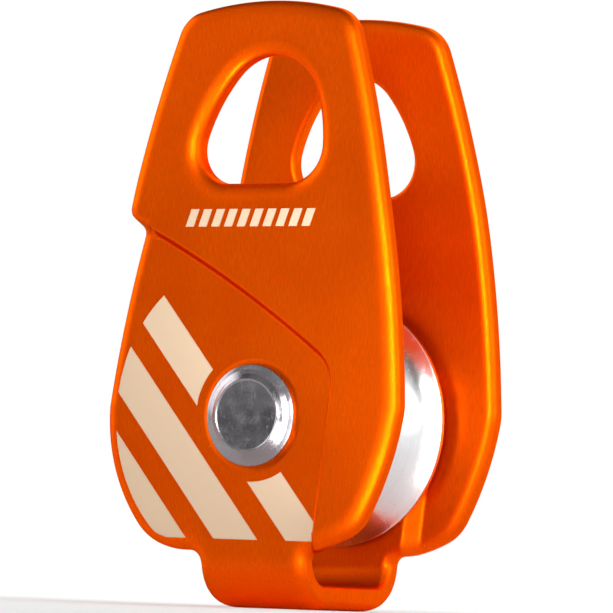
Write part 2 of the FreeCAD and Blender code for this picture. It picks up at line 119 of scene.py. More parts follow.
SUNK_FACE = SUNK_GAP / 2 + THICK                        # outer face of a sunk panel
INNER_FACE = SUNK_GAP / 2 + PANEL_STEP + 0.05           # beyond the inner faces of the cheeks
MID_RADIUS = BEND_OUTSIDE - THICK / 2
FLAT_HALF = SUNK_FACE - BEND_OUTSIDE
BEND_TOP = BEND_OUTSIDE - BRIDGE_DROP
BEND_END = FLAT_HALF + MID_RADIUS * math.pi / 2
LIFT = BEND_END - BEND_TOP      # height on a cheek plus this is the length along the strip


# ------------------------------------------------------------------ flat curves
def arc_points(start, stop, radius, bulge, step=OUTLINE_STEP):
    """Points along an arc; bulge 1 or -1 says to which side of start-stop it swells."""
    start, stop = np.array(start, float), np.array(stop, float)
    chord = stop - start
    size = np.linalg.norm(chord)
    left = np.array((-chord[1], chord[0])) / size
    centre = (start + stop) / 2 - left * bulge * math.sqrt(radius ** 2 - (size / 2) ** 2)
    first = math.atan2(*(start - centre)[::-1])
    turn = -bulge * 2 * math.asin(size / 2 / radius)
    count = max(2, int(abs(turn) * radius / step) + 1)
    angles = first + turn * np.linspace(0, 1, count + 1)
    return centre + radius * np.stack((np.cos(angles), np.sin(angles)), axis=1)


def line_points(start, stop, step=OUTLINE_STEP):
    """Points along a straight line."""
    size = math.dist(start, stop)
    count = max(1, int(size / step))
    return np.array([np.array(start) + (np.array(stop) - np.array(start)) * share
                     for share in np.linspace(0, 1, count + 1)])


def along(points, distance):
    """The place and direction at a distance from the start of a run of points."""
    for first, second in zip(points[:-1], points[1:]):
        size = np.linalg.norm(second - first)
        if distance <= size:
            way = (second - first) / size
            return first + way * distance, way
        distance -= size
    raise ValueError("the run is shorter than its rounding")


def trim(points, distance):
    """The run of points without the given distance at its start."""
    walked = np.concatenate(([0], np.cumsum(np.linalg.norm(np.diff(points, axis=0), axis=1))))
    place, _ = along(points, distance)
    return np.vstack((place, points[walked > distance + 1e-6]))


def join_rounded(runs, radii):
    """Join runs of points end to start, with a rounding of the given radius at each joint."""
    path = runs[0]
    for following, radius in zip(runs[1:], radii):
        ahead = (following[1] - following[0]) / np.linalg.norm(following[1] - following[0])
        behind = (path[-1] - path[-2]) / np.linalg.norm(path[-1] - path[-2])
        turn = math.acos(max(-1.0, min(1.0, float(behind @ ahead))))
        if radius and turn > 0.01:
            cut = radius * math.tan(turn / 2)
            entry, back = along(path[::-1], cut)
            leave, forward = along(following, cut)
            pull = 4 / 3 * math.tan(turn / 4) * radius
            pieces = max(4, int(radius * turn / OUTLINE_STEP) + 2)
            share = np.linspace(0, 1, pieces + 1)[1:-1, None]
            rounding = ((1 - share) ** 3 * entry + 3 * (1 - share) ** 2 * share * (entry - back * pull)
                        + 3 * (1 - share) * share ** 2 * (leave - forward * pull)
                        + share ** 3 * leave)
            path = np.vstack((trim(path[::-1], cut)[::-1], rounding, trim(following, cut)))
        else:
            path = np.vstack((path, following[1:]))
    return path


def even_loop(points, step=OUTLINE_STEP):
    """The same closed loop with evenly spaced points."""
    closed = np.vstack((points, points[:1]))
    walked = np.concatenate(([0], np.cumsum(np.linalg.norm(np.diff(closed, axis=0), axis=1))))
    count = int(walked[-1] / step)
    places = np.linspace(0, walked[-1], count, endpoint=False)
    return np.stack([np.interp(places, walked, closed[:, axis]) for axis in (0, 1)], axis=1)


def cheek_outline():
    """Outline of one cheek and its half of the bridge, from +X round the top to -X."""
    side_x = math.sqrt(HEEL_RADIUS ** 2 - HEEL_START ** 2)
    heel_x = math.sqrt(HEEL_RADIUS ** 2 - FOOT ** 2)
    bottom = -LIFT
    runs = [
        line_points((BRIDGE_RIGHT, bottom), (BRIDGE_RIGHT, -FOOT)),
        arc_points((BRIDGE_RIGHT, -FOOT), HEEL_TURN, FOOT_RADIUS, -1),
        arc_points(HEEL_TURN, (side_x, HEEL_START), HEEL_SIDE, -1),
        arc_points((side_x, HEEL_START), (TOP_HALF, TOP_CORNER), SIDE_RADIUS, -1),
        arc_points((TOP_HALF, TOP_CORNER), (-TOP_HALF, TOP_CORNER), TOP_CROWN, -1),
        arc_points((-TOP_HALF, TOP_CORNER), (-WAIST_HALF_TOP, WAIST_TOP), SIDE_RADIUS, -1),
        line_points((-WAIST_HALF_TOP, WAIST_TOP), (-WAIST_HALF_LOW, WAIST_LOW)),
        arc_points((-WAIST_HALF_LOW, WAIST_LOW), (-side_x, HEEL_START), SIDE_RADIUS, -1),
        arc_points((-side_x, HEEL_START), (-heel_x, -FOOT), HEEL_RADIUS, -1),
        line_points((-heel_x, -FOOT), (-BRIDGE_LEFT, -FOOT)),
        line_points((-BRIDGE_LEFT, -FOOT), (-BRIDGE_LEFT, bottom))]
    return join_rounded(runs, (ROOT_RIGHT, HEEL_TURN_CORNER, HEEL_SIDE_CORNER, CROWN_CORNER,
                               CROWN_CORNER_LEFT, NOTCH_OUTSIDE, NOTCH_INSIDE, 0, HEEL_CORNER,
                               ROOT_LEFT))


def eye_half(top_x, top_radius):
    """Half of an eye: its flank's circle touches the top and the corner circle from outside."""
    low, high = np.array((EYE_CORNER_OUT, EYE_FOOT + EYE_CORNER)), np.array((top_x, EYE_TOP))
    apart = np.linalg.norm(high - low)
    way = (high - low) / apart
    to_low, to_high = EYE_FLANK - EYE_CORNER, EYE_FLANK - top_radius
    along_way = (to_low ** 2 - to_high ** 2 + apart ** 2) / 2 / apart
    across = math.sqrt(to_low ** 2 - along_way ** 2)
    centre = low + way * along_way + np.array((-way[1], way[0])) * across
    first = math.atan2(*(low - centre)[::-1])
    second = math.atan2(*(high - centre)[::-1])
    points = []
    for middle, radius, start, stop in ((low, EYE_CORNER, -math.pi / 2, first),
                                        (centre, EYE_FLANK, first, second),
                                        (high, top_radius, second, math.pi / 2)):
        for angle in np.linspace(start, stop, 40)[:-1]:
            points.append(middle + radius * np.array((math.cos(angle), math.sin(angle))))
    return np.array(points)


def eye_outline(top_x, top_radius):
    left = eye_half(-top_x, top_radius) * (-1, 1)
    return np.vstack((eye_half(top_x, top_radius), left[::-1]))


def bore_outline():
    angles = np.linspace(0, 2 * math.pi, 80, endpoint=False)
    return BORE * np.stack((np.cos(angles), np.sin(angles)), axis=1)


def border_line():
    arc = arc_points(BORDER_START, BORDER_TURN, BORDER_RADIUS, 1)
    way = arc[0] - arc[1]
    lead = line_points(arc[0] + way / np.linalg.norm(way) * 8, arc[0])
    line = line_points(BORDER_TURN, BORDER_END)
    way = (line[-1] - line[-2]) / np.linalg.norm(line[-1] - line[-2])
    tail = line_points(line[-1], line[-1] + way * 12)
    return join_rounded([lead, arc, line, tail], (0, BORDER_CORNER, 0))


class Border:
    """Signed distance to the border: positive on the outer panel."""

    def __init__(self):
        self.points = border_line()
        self.ways = np.diff(self.points, axis=0)
        self.sizes = np.linalg.norm(self.ways, axis=1)

    def distance(self, x, z):
        place = np.stack((np.atleast_1d(x), np.atleast_1d(z)), axis=1)
        result = np.empty(len(place))
        for start in range(0, len(place), 2000):
            rows = place[start:start + 2000, None, :]
            gap = rows - self.points[None, :-1, :]
            share = np.clip((gap * self.ways).sum(2) / self.sizes ** 2, 0, 1)
            off = gap - share[..., None] * self.ways
            apart = np.linalg.norm(off, axis=2)
            nearest = apart.argmin(1)
            pick = np.arange(len(nearest))
            cross = (self.ways[nearest, 0] * gap[pick, nearest, 1]
                     - self.ways[nearest, 1] * gap[pick, nearest, 0])
            result[start:start + 2000] = np.sign(cross) * apart[pick, nearest]
        return result


BORDER = Border()


def soft_step(distance, wide):
    share = np.clip(distance / wide + 0.5, 0, 1)
    return share * share * (3 - 2 * share)


def lean_in(z):
    """How far a cheek has leaned inwards at a height."""
    wide = LEAN_TO - LEAN_FROM
    part = np.clip(z - LEAN_FROM, 0, wide)
    return LEAN_SLOPE * (part * part / (2 * wide) + np.maximum(z - LEAN_TO, 0))


def on_strip(flat, outer, height):
    """Places on the bent strip: flat holds (x, length along it), height the offset from the
    middle of the thickness towards the outer face."""
    x, length = flat[:, 0], flat[:, 1]
    side, run = np.sign(length), np.abs(length)
    z = run - LIFT
    shift, wide = (0.0, STEP_WIDE) if outer else (-BORDER_SHIFT, STEP_WIDE_INSIDE)
    panel = PANEL_STEP * soft_step(BORDER.distance(x, z) + shift, wide) * (z > BEND_TOP) - lean_in(z)
    angle = np.clip((run - FLAT_HALF) / MID_RADIUS, 0, math.pi / 2)
    reach = MID_RADIUS + height
    y = np.minimum(run, FLAT_HALF) + reach * np.sin(angle) + panel
    up = np.where(run > BEND_END, z, BEND_TOP - reach * np.cos(angle))
    return np.stack((x, side * y, up), axis=1)


# ------------------------------------------------------------------ skins of the strip
def left_normals(loop):
    """Directions to the left of a closed loop at its points."""
    way = np.roll(loop, -1, axis=0) - np.roll(loop, 1, axis=0)
    way /= np.linalg.norm(way, axis=1)[:, None]
    return np.stack((-way[:, 1], way[:, 0]), axis=1)


def rim_share(loop, outer):
    """How much of a rim is left at each point: the inner one narrows along the bridge."""
    if outer:
        return np.ones(len(loop))
    away = np.clip((np.abs(loop[:, 1]) - FLAT_HALF) / (BEND_END - FLAT_HALF), 0, 1)
    return BRIDGE_RIM + (1 - BRIDGE_RIM) * away


def rim_rows(loop, rim, outer):
    """Rows of points across a rim, each with its depth below the face."""
    wide, deep = rim
    share = rim_share(loop, outer)
    inwards = left_normals(loop) * share[:, None]
    rows = []
    for angle in np.linspace(0, math.pi / 2, RIM_ROWS + 1):
        rows.append((loop + inwards * wide * (1 - math.cos(angle)),
                     share * deep * (1 - math.sin(angle))))
    return rows


def inside_loop(points, loop):
    """True for each point that lies inside a closed loop."""
    result = np.zeros(len(points), bool)
    x, y = points[:, 0], points[:, 1]
    for (x1, y1), (x2, y2) in zip(loop, np.roll(loop, -1, axis=0)):
        crosses = (y1 > y) != (y2 > y)
        if crosses.any():
            at = x1 + (y - y1) * (x2 - x1) / (y2 - y1 if y2 != y1 else 1.0)
            result ^= crosses & (x < at)
    return result


def open_points(outer):
    """Points for the open parts of a skin: a hexagonal grid, closer rows on the bends, and rows
    along both borders."""
    reach = TOP_CORNER + 4 + LIFT
    points = []
    row = 0
    length = 0.0
    while length < reach:
        step = 0.36 if length < BEND_END + 0.4 else SKIN_STEP * 0.87
        start = -24 + (SKIN_STEP / 2 if row % 2 else 0)
        for x in np.arange(start, 24, SKIN_STEP):
            for side in ((1, -1) if length else (1,)):
                points.append((x, side * length))
        length += step
        row += 1
    points = np.array(points)
    shift, wide = (0.0, STEP_WIDE) if outer else (BORDER_SHIFT, STEP_WIDE_INSIDE)
    on_cheek = np.abs(points[:, 1]) > BEND_END - 0.5
    apart = np.abs(BORDER.distance(points[:, 0], np.abs(points[:, 1]) - LIFT) - shift)
    points = points[~(on_cheek & (apart < wide / 2 + 0.35))]
    line = BORDER.points
    way = np.gradient(line, axis=0)
    way /= np.linalg.norm(way, axis=1)[:, None]
    normal = np.stack((-way[:, 1], way[:, 0]), axis=1)
    rows = []
    for offset in np.linspace(-wide / 2 - 0.15, wide / 2 + 0.15, 13):
        shifted = line + normal * (offset + shift)
        keep = np.abs(np.abs(BORDER.distance(shifted[:, 0], shifted[:, 1]) - shift)
                      - abs(offset)) < 0.02
        keep &= shifted[:, 1] > BEND_TOP
        rows.append(shifted[keep])
    rows = np.vstack(rows)
    for side in (1, -1):
        points = np.vstack((points, np.stack((rows[:, 0], side * (rows[:, 1] + LIFT)), axis=1)))
    return points


def strip_loops():
    """All loops of the flat strip with their rims; the material is on the left of each."""
    half = cheek_outline()
    far = np.stack((half[:, 0], half[:, 1] + LIFT), axis=1)
    near = (far * (1, -1))[::-1]
    loops = [(even_loop(np.vstack((far[:-1], near[:-1]))), OUTLINE_RIMS)]
    for side, eye in ((1, EYE_TOP_FAR), (-1, EYE_TOP_NEAR)):
        for outline, rims in ((eye_outline(*eye), EYE_RIMS), (bore_outline(), BORE_RIMS)):
            loop = even_loop(np.stack((outline[:, 0], side * (outline[:, 1] + LIFT)), axis=1))
            if side == 1:
                loop = loop[::-1]
            loops.append((loop, rims))
    return loops


def build_strip():
    """The whole strip as one closed mesh."""
    loops = strip_loops()
    places, faces, edge_rows = [], [], {}
    total = 0

    def add(block):
        nonlocal total
        places.append(block)
        total += len(block)
        return total - len(block)

    for outer in (True, False):
        face_index = 0 if outer else 1
        sign = 1 if outer else -1
        rings, kd_points = [], []
        for number, (loop, rims) in enumerate(loops):
            starts = []
            for row, deep in rim_rows(loop, rims[face_index], outer):
                starts.append(add(on_strip(row, outer, sign * (THICK / 2 - deep))))
            edge_rows[(number, outer)] = starts[0]
            count = len(loop)
            for low, high in zip(starts[:-1], starts[1:]):
                for k in range(count):
                    n = (k + 1) % count
                    quad = (low + k, high + k, high + n, low + n)
                    faces.append(quad if outer else quad[::-1])
            last = rim_rows(loop, rims[face_index], outer)[-1][0]
            rings.append((last, starts[-1]))
            kd_points.extend(last)
        tree = KDTree(len(kd_points))
        for k, point in enumerate(kd_points):
            tree.insert((point[0], point[1], 0), k)
        tree.balance()
        fill = open_points(outer)
        keep = inside_loop(fill, rings[0][0])
        for ring, _ in rings[1:]:
            keep &= ~inside_loop(fill, ring)
        keep &= np.array([tree.find((p[0], p[1], 0))[2] > 0.22 for p in fill])
        fill = fill[keep]
        first_fill = add(on_strip(fill, outer, sign * THICK / 2))
        points, edges, owners = [], [], []
        for ring, start in rings:
            base = len(points)
            points.extend(ring)
            owners.extend(range(start, start + len(ring)))
            edges.extend((base + k, base + (k + 1) % len(ring)) for k in range(len(ring)))
        points.extend(fill)
        owners.extend(range(first_fill, first_fill + len(fill)))
        out = delaunay_2d_cdt([Vector(p) for p in points], edges, [], 0, 1e-7)
        flat, triangles, origin = out[0], out[2], out[3]
        centres = np.array([np.mean([flat[i] for i in tri], axis=0) for tri in triangles])
        keep = inside_loop(centres, rings[0][0])
        for ring, _ in rings[1:]:
            keep &= ~inside_loop(centres, ring)
        for tri, good in zip(triangles, keep):
            if good:
                own = tuple(owners[origin[i][0]] for i in tri)
                faces.append(own[::-1] if outer else own)
    # Side walls between the two faces, in three bands.
    for number, (loop, rims) in enumerate(loops):
        count = len(loop)
        top = THICK / 2 - rims[0][1]
        bottom = -THICK / 2 + rims[1][1] * rim_share(loop, False)
        starts = [edge_rows[(number, True)]]
        for share in (1 / 3, 2 / 3):
            over = on_strip(loop, True, top)
            under = on_strip(loop, False, bottom)
            starts.append(add(over + (under - over) * share))
        starts.append(edge_rows[(number, False)])
        for low, high in zip(starts[:-1], starts[1:]):
            for k in range(count):
                n = (k + 1) % count
                faces.append((low + k, low + n, high + n, high + k))
    return np.vstack(places), faces


def mesh_object(name, places, faces):
    mesh = bpy.data.meshes.new(name)
    mesh.from_pydata((np.asarray(places) * MM).tolist(), [], faces)
    mesh.validate()
    mesh.shade_smooth()
    piece = bpy.data.objects.new(name, mesh)
    bpy.context.scene.collection.objects.link(piece)
    return piece


def mark_crease(mesh):
    """Store how close each point of the outer faces lies to the middle of the border step, where the
    material paints a dark line of shade.
    """
    places = np.empty(len(mesh.vertices) * 3)
    mesh.vertices.foreach_get("co", places)
    x, y, z = places.reshape(-1, 3).T / MM
    close = np.exp(-(BORDER.distance(x, z) / CREASE_WIDE) ** 2)
    close *= (np.abs(y) > INNER_FACE) & (z > BEND_TOP)
    mesh.attributes.new("crease", "FLOAT", "POINT").data.foreach_set("value", close)


# ------------------------------------------------------------------ turned parts
def turned(name, section, count=TURNS):
    """A closed body turned about the axle from (radius, y) points; radius 0 closes an end."""
    angles = np.linspace(0, 2 * math.pi, count, endpoint=False)
    places, faces, rows = [], [], []
    for radius, y in section:
        rows.append(len(places))
        if radius == 0:
            places.append((0, y, 0))
            continue
        places.extend((radius * math.cos(a), y, radius * math.sin(a)) for a in angles)
    pairs = list(zip(range(len(section)), list(range(1, len(section))) + [0]))
    for here, there in pairs:
        flat_here, flat_there = section[here][0] == 0, section[there][0] == 0
        if flat_here and flat_there:
            continue
        for k in range(count):
            n = (k + 1) % count
            if flat_here:
                faces.append((rows[here], rows[there] + k, rows[there] + n))
            elif flat_there:
                faces.append((rows[here] + n, rows[here] + k, rows[there]))
            else:
                faces.append((rows[here] + n, rows[here] + k, rows[there] + k, rows[there] + n))
    return mesh_object(name, places, faces)


def rounded_section(corners, step=4):
    """Section points with a rounding at each (radius, y, rounding) corner."""
    result = []
    count = len(corners)
    for number, corner in enumerate(corners):
        here = np.array(corner[:2], float)
        if len(corner) == 2 or corner[2] == 0:
            result.append(tuple(here))
            continue
        back = np.array(corners[number - 1][:2], float) - here
        ahead = np.array(corners[(number + 1) % count][:2], float) - here
        back /= np.linalg.norm(back)
        ahead /= np.linalg.norm(ahead)
        inner = math.acos(max(-1.0, min(1.0, float(back @ ahead))))
        cut = corner[2] / math.tan(inner / 2)
        first, last = here + back * cut, here + ahead * cut
        for share in np.linspace(0, 1, step + 1):
            point = (1 - share) ** 2 * first + 2 * share * (1 - share) * here + share ** 2 * last
            result.append(tuple(point))
    return result


def head_section(sign):
    """Corners of one rivet head from the shank to the middle of its disc."""
    top = SUNK_FACE + HEAD_HIGH
    floor = top - HEAD_DISH
    corners = [(HEAD_RADIUS, SUNK_FACE, 0.08), (HEAD_RADIUS, SUNK_FACE + HEAD_RIM, 0.16)]
    for share in (0.33, 0.66):
        radius = HEAD_RADIUS + (HEAD_DISC + HEAD_LIP - HEAD_RADIUS) * share
        sag = HEAD_SAG * math.sin(math.pi * share)
        corners.append((radius, SUNK_FACE + HEAD_RIM + (HEAD_HIGH - HEAD_RIM) * share - sag, 0.6))
    corners += [(HEAD_DISC + HEAD_LIP, top, 0.1), (HEAD_DISC, floor, 0.12), (0, floor + 0.03)]
    return [(corner[0], sign * corner[1]) + corner[2:] for corner in corners]


def make_rivet():
    far = [(SHANK, SUNK_FACE, 0)] + head_section(1)
    near = [(SHANK, -SUNK_FACE, 0)] + head_section(-1)
    section = rounded_section(near[::-1] + far)
    return turned("axle_rivet_turned", section)


def make_sheave():
    centre = TREAD_RADIUS + GROOVE_RADIUS
    lip = math.sqrt(GROOVE_RADIUS ** 2 - (centre - FLANGE_RADIUS) ** 2)
    section = [(SHOULDER_BORE, -SHEAVE_HALF + SEAT_DEPTH), (BEARING_SEAT, -SHEAVE_HALF + SEAT_DEPTH),
               (BEARING_SEAT, -SHEAVE_HALF, 0.12), (FLANGE_RADIUS, -SHEAVE_HALF, 0.2),
               (FLANGE_RADIUS, -lip, 0.12)]
    half_angle = math.asin(lip / GROOVE_RADIUS)
    for angle in np.linspace(-half_angle, half_angle, 49)[1:-1]:
        section.append((centre - GROOVE_RADIUS * math.cos(angle), GROOVE_RADIUS * math.sin(angle)))
    section += [(FLANGE_RADIUS, lip, 0.12), (FLANGE_RADIUS, SHEAVE_HALF, 0.2),
                (BEARING_SEAT, SHEAVE_HALF, 0.12), (BEARING_SEAT, SHEAVE_HALF - SEAT_DEPTH),
                (SHOULDER_BORE, SHEAVE_HALF - SEAT_DEPTH)]
    return turned("sheave_turned", rounded_section(section))


# ------------------------------------------------------------------ materials
class Nodes:
    """A node tree whose nodes are added and linked in one call each."""

    def __init__(self, tree):
        self.tree = tree
        self.tree.nodes.clear()

    def node(self, kind, **settings):
        node = self.tree.nodes.new(kind)
        for key, value in settings.items():
            setattr(node, key, value)
        return node

    def link(self, source, target):
        if isinstance(source, bpy.types.NodeSocket):
            self.tree.links.new(source, target)
        else:
            target.default_value = source

    def math(self, operation, *items):
        node = self.node("ShaderNodeMath", operation=operation)
        for item, socket in zip(items, node.inputs):
            self.link(item, socket)
        return node.outputs[0]

    def product(self, *items):
        result = items[0]
        for item in items[1:]:
            result = self.math("MULTIPLY", result, item)
        return result

    def ramp(self, value, low, high, out_low=0.0, out_high=1.0, soft=False):
        node = self.node("ShaderNodeMapRange",
                         interpolation_type="SMOOTHSTEP" if soft else "LINEAR")
        for item, socket in zip((value, low, high, out_low, out_high), node.inputs):
            self.link(item, socket)
        return node.outputs[0]

    def dot(self, vector, way):
        node = self.node("ShaderNodeVectorMath", operation="DOT_PRODUCT")
        self.link(vector, node.inputs[0])
        node.inputs[1].default_value = way
        return node.outputs["Value"]

    def mix_colour(self, share, first, second):
        node = self.node("ShaderNodeMix", data_type="RGBA")
        self.link(share, node.inputs[0])
        self.link(first, node.inputs[6])
        self.link(second, node.inputs[7])
        return node.outputs[2]


class Shader(Nodes):
    """A material of one Principled surface, with the place in millimetres at hand."""

    def __init__(self, name):
        self.material = bpy.data.materials.new(name)
        self.material.use_nodes = True
        super().__init__(self.material.node_tree)
        self.surface = self.node("ShaderNodeBsdfPrincipled")
        output = self.node("ShaderNodeOutputMaterial")
        self.link(self.surface.outputs[0], output.inputs[0])
        place = self.node("ShaderNodeTexCoord")
        scaled = self.node("ShaderNodeVectorMath", operation="SCALE")
        self.link(place.outputs["Object"], scaled.inputs[0])
        scaled.inputs["Scale"].default_value = 1 / MM
        self.place = scaled.outputs[0]
        split = self.node("ShaderNodeSeparateXYZ")
        self.link(self.place, split.inputs[0])
        self.x, self.y, self.z = split.outputs

    def noise(self, scale, stretch=(1, 1, 1), detail=3.0, rough=0.55, place=None):
        mapping = self.node("ShaderNodeVectorMath", operation="MULTIPLY")
        self.link(place or self.place, mapping.inputs[0])
        mapping.inputs[1].default_value = stretch
        node = self.node("ShaderNodeTexNoise")
        self.link(mapping.outputs[0], node.inputs["Vector"])
        node.inputs["Scale"].default_value = scale
        node.inputs["Detail"].default_value = detail
        node.inputs["Roughness"].default_value = rough
        return node.outputs[0]

    def radius(self):
        """Distance from the axle."""
        return self.math("SQRT", self.math("ADD", self.product(self.x, self.x),
                                           self.product(self.z, self.z)))

    def between(self, value, low, high):
        return self.product(self.math("GREATER_THAN", value, low),
                            self.math("LESS_THAN", value, high))

    def repeat(self, value, pitch, gap):
        """1 on bands that repeat along a value, 0 in the gaps between them."""
        return self.math("GREATER_THAN", self.math("PINGPONG", value, pitch / 2), gap / 2)

    def bump(self, height, depth, strength=1.0, below=None):
        node = self.node("ShaderNodeBump")
        self.link(height, node.inputs["Height"])
        node.inputs["Strength"].default_value = strength
        node.inputs["Distance"].default_value = depth * MM
        if below is not None:
            self.link(below, node.inputs["Normal"])
        return node.outputs[0]

    def set(self, **values):
        for key, value in values.items():
            self.link(value, self.surface.inputs[key.replace("_", " ")])
        return self.material


def slanted_stripes(shader):
    """1 on the stripes round the rivet of the near cheek."""
    slant = shader.math("ADD", shader.product(shader.x, STRIPE_WAY[0]),
                        shader.product(shader.z, STRIPE_WAY[1]))
    stripe = shader.repeat(shader.math("ADD", slant, STRIPE_SHIFT), STRIPE_PITCH, STRIPE_GAP)
    ring = shader.between(shader.radius(), *STRIPE_RING)
    left = shader.math("LESS_THAN", slant, STRIPE_END)
    above = shader.math("GREATER_THAN", shader.z, STRIPE_LOW)
    on_face = shader.between(shader.y, -SUNK_FACE - PRINT_SLACK[0], -SUNK_FACE + PRINT_SLACK[1])
    return shader.product(stripe, ring, left, above, on_face)


def row_of_bars(shader):
    """1 on the small leaning bars below the near cheek's eye."""
    lean = shader.math("ADD", shader.product(shader.z, -BAR_SHEAR), BAR_SHIFT)
    sheared = shader.math("ADD", shader.x, lean)
    bar = shader.repeat(sheared, BAR_PITCH, BAR_GAP)
    wide = shader.between(sheared, -BARS_HALF, BARS_HALF)
    high = shader.between(shader.z, BARS_UP - BARS_HALF_HIGH, BARS_UP + BARS_HALF_HIGH)
    near = shader.math("LESS_THAN", shader.y, -BARS_FACE)
    return shader.product(bar, wide, high, near)


def around_rivet(shader):
    """Height of the soft dip of the outer faces round the rivet heads."""
    dip = shader.ramp(shader.radius(), HEAD_RADIUS, HEAD_RADIUS + DIP_WIDE, soft=True)
    outside = shader.math("GREATER_THAN", shader.math("ABSOLUTE", shader.y), INNER_FACE)
    return shader.product(dip, outside)


def facing_inwards(shader):
    """1 on the faces that look towards the other cheek."""
    facing = shader.dot(shader.node("ShaderNodeNewGeometry").outputs["Normal"], (0, -1, 0))
    return shader.ramp(shader.product(facing, shader.math("SIGN", shader.y)), 0.3, 0.9, soft=True)


def anodised_material():
    """Orange anodised aluminium: brushed grain, cloudy colour, bright specks of painted glint, painted
    shade along the crease, cream print, and slightly matt inner faces."""
    deep, pale = (0.88, 0.096, 0.0005, 1), (0.96, 0.116, 0.0006, 1)
    # The second colour on the next line is painted glint colour, for small highlights on the grain.
    grained, painted_glint = (0.70, 0.066, 0.0004, 1), (0.95, 0.34, 0.06, 1)
    # The first colour on the next line is painted shade for the dark line along the border step.
    crease_shade, cream = (0.16, 0.012, 0.004, 1), (0.46, 0.345, 0.24, 1)
    shader = Shader("anodised_orange")
    grain = shader.noise(1.0, (8.0, 8.0, 0.8), 4.0, 0.6)
    fine = shader.noise(1.0, (30.0, 30.0, 1.6), 2.0, 0.6)
    cloud = shader.noise(0.09, (1, 1, 1), 2.0, 0.5)
    # Spots for painted glints: bright golden specks that stand in for highlights on the grain.
    glint_specks = shader.ramp(shader.noise(3.2, (1, 1, 1), 2.0, 0.5), 0.70, 0.78)
    crease = shader.node("ShaderNodeAttribute", attribute_name="crease").outputs["Fac"]
    base = shader.mix_colour(shader.ramp(cloud, 0.35, 0.65), deep, pale)
    base = shader.mix_colour(shader.ramp(grain, 0.3, 0.7, 0.0, 0.8), base, grained)
    # Painted highlight: golden glint specks mixed into the colour.
    base = shader.mix_colour(shader.product(glint_specks, 0.5), base, painted_glint)
    # Painted shade: a dark line along the border step, where the step turns away from the light.
    base = shader.mix_colour(shader.product(crease, 0.7), base, crease_shade)
    mask = shader.math("MAXIMUM", slanted_stripes(shader), row_of_bars(shader))
    colour = shader.mix_colour(mask, base, cream)
    rough = shader.math("ADD", shader.ramp(grain, 0.3, 0.7, 0.36, 0.44), shader.product(mask, 0.2))
    normal = shader.bump(around_rivet(shader), DIP_DEEP)
    normal = shader.bump(shader.math("ADD", grain, shader.product(fine, 0.4)), 0.016, 0.5, normal)
    inside = facing_inwards(shader)
    metal = shader.math("SUBTRACT", shader.math("SUBTRACT", 1.0, mask), shader.product(inside, 0.08))
    gloss = shader.math("SUBTRACT", 0.5, shader.product(inside, 0.5))
    shader.set(Specular_Tint=(1.0, 0.55, 0.30, 1), Specular_IOR_Level=gloss)
    return shader.set(Base_Color=colour, Metallic=metal, Roughness=rough, Normal=normal)


def turned_material(name, colour, rough, groove, depth, worn):
    """Turned metal with fine rings about the axle, scratches and dull patches."""
    shader = Shader(name)
    ring = shader.node("ShaderNodeCombineXYZ")
    shader.link(shader.radius(), ring.inputs[0])
    shader.link(shader.y, ring.inputs[1])
    rings = shader.noise(groove, (1, 1, 1), 3.0, 0.6, ring.outputs[0])
    scratch = shader.ramp(shader.noise(0.8, (5.0, 5.0, 1.1), 4.0, 0.65), 0.60, 0.66)
    cloud = shader.noise(0.45, (1, 1, 1), 4.0, 0.6)
    dark = tuple(part * 0.78 for part in colour[:3]) + (1,)
    shade = shader.mix_colour(shader.ramp(rings, 0.3, 0.7, 0.0, 0.5), colour, dark)
    roughness = shader.math("ADD", shader.ramp(rings, 0.3, 0.7, rough * 0.85, rough * 1.2),
                            shader.ramp(cloud, 0.42, 0.66, 0.0, worn))
    roughness = shader.math("ADD", roughness, shader.product(scratch, worn))
    normal = shader.bump(rings, depth, 0.6)
    normal = shader.bump(scratch, depth, 0.35, normal)
    return shader.set(Base_Color=shade, Metallic=1.0, Roughness=roughness, Normal=normal)


def plain_material(name, colour, metal, rough):
    shader = Shader(name)
    cloud = shader.noise(2.0, (1, 1, 1), 3.0, 0.6)
    dark = tuple(part * 0.8 for part in colour[:3]) + (1,)
    shade = shader.mix_colour(shader.ramp(cloud, 0.35, 0.65), colour, dark)
    roughness = shader.ramp(cloud, 0.3, 0.7, rough * 0.85, min(1.0, rough * 1.15))
    normal = shader.bump(cloud, 0.01, 0.3)
    return shader.set(Base_Color=shade, Metallic=metal, Roughness=roughness, Normal=normal)


ANODISED = anodised_material()
STEEL_TURNED = turned_material("axle_steel", (0.30, 0.285, 0.305, 1), 0.17, 9.0, 0.008, 0.14)
SHEAVE_METAL = turned_material("sheave_aluminium", (0.82, 0.82, 0.83, 1), 0.20, 7.0, 0.006, 0.06)
BEARING_STEEL = turned_material("bearing_steel", (0.60, 0.60, 0.61, 1), 0.18, 12.0, 0.003, 0.05)
RUBBER = plain_material("seal_rubber", (0.022, 0.022, 0.024, 1), 0.0, 0.55)
POLYAMIDE = plain_material("cage_polyamide", (0.70, 0.66, 0.55, 1), 0.0, 0.45)


def dress_cad_nodes():
    for name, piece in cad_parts.items():
        if "seal" in name:
            material = RUBBER
        elif "cage" in name:
            material = POLYAMIDE
        elif "washer" in name or "spacer" in name:
            material = STEEL_TURNED
        else:
            material = BEARING_STEEL
        for slot in piece.material_slots:
            slot.material = material


# ------------------------------------------------------------------ pieces
dress_cad_nodes()

strip = mesh_object("side_plates_strip", *build_strip())
mark_crease(strip.data)
strip.data.materials.append(ANODISED)
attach(strip, "frame")
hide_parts("side_plates")

rivet = make_rivet()
rivet.data.materials.append(STEEL_TURNED)
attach(rivet, "frame")
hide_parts("axle_rivet")

wheel = make_sheave()
wheel.data.materials.append(SHEAVE_METAL)
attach(wheel, "sheave_body")
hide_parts("sheave")


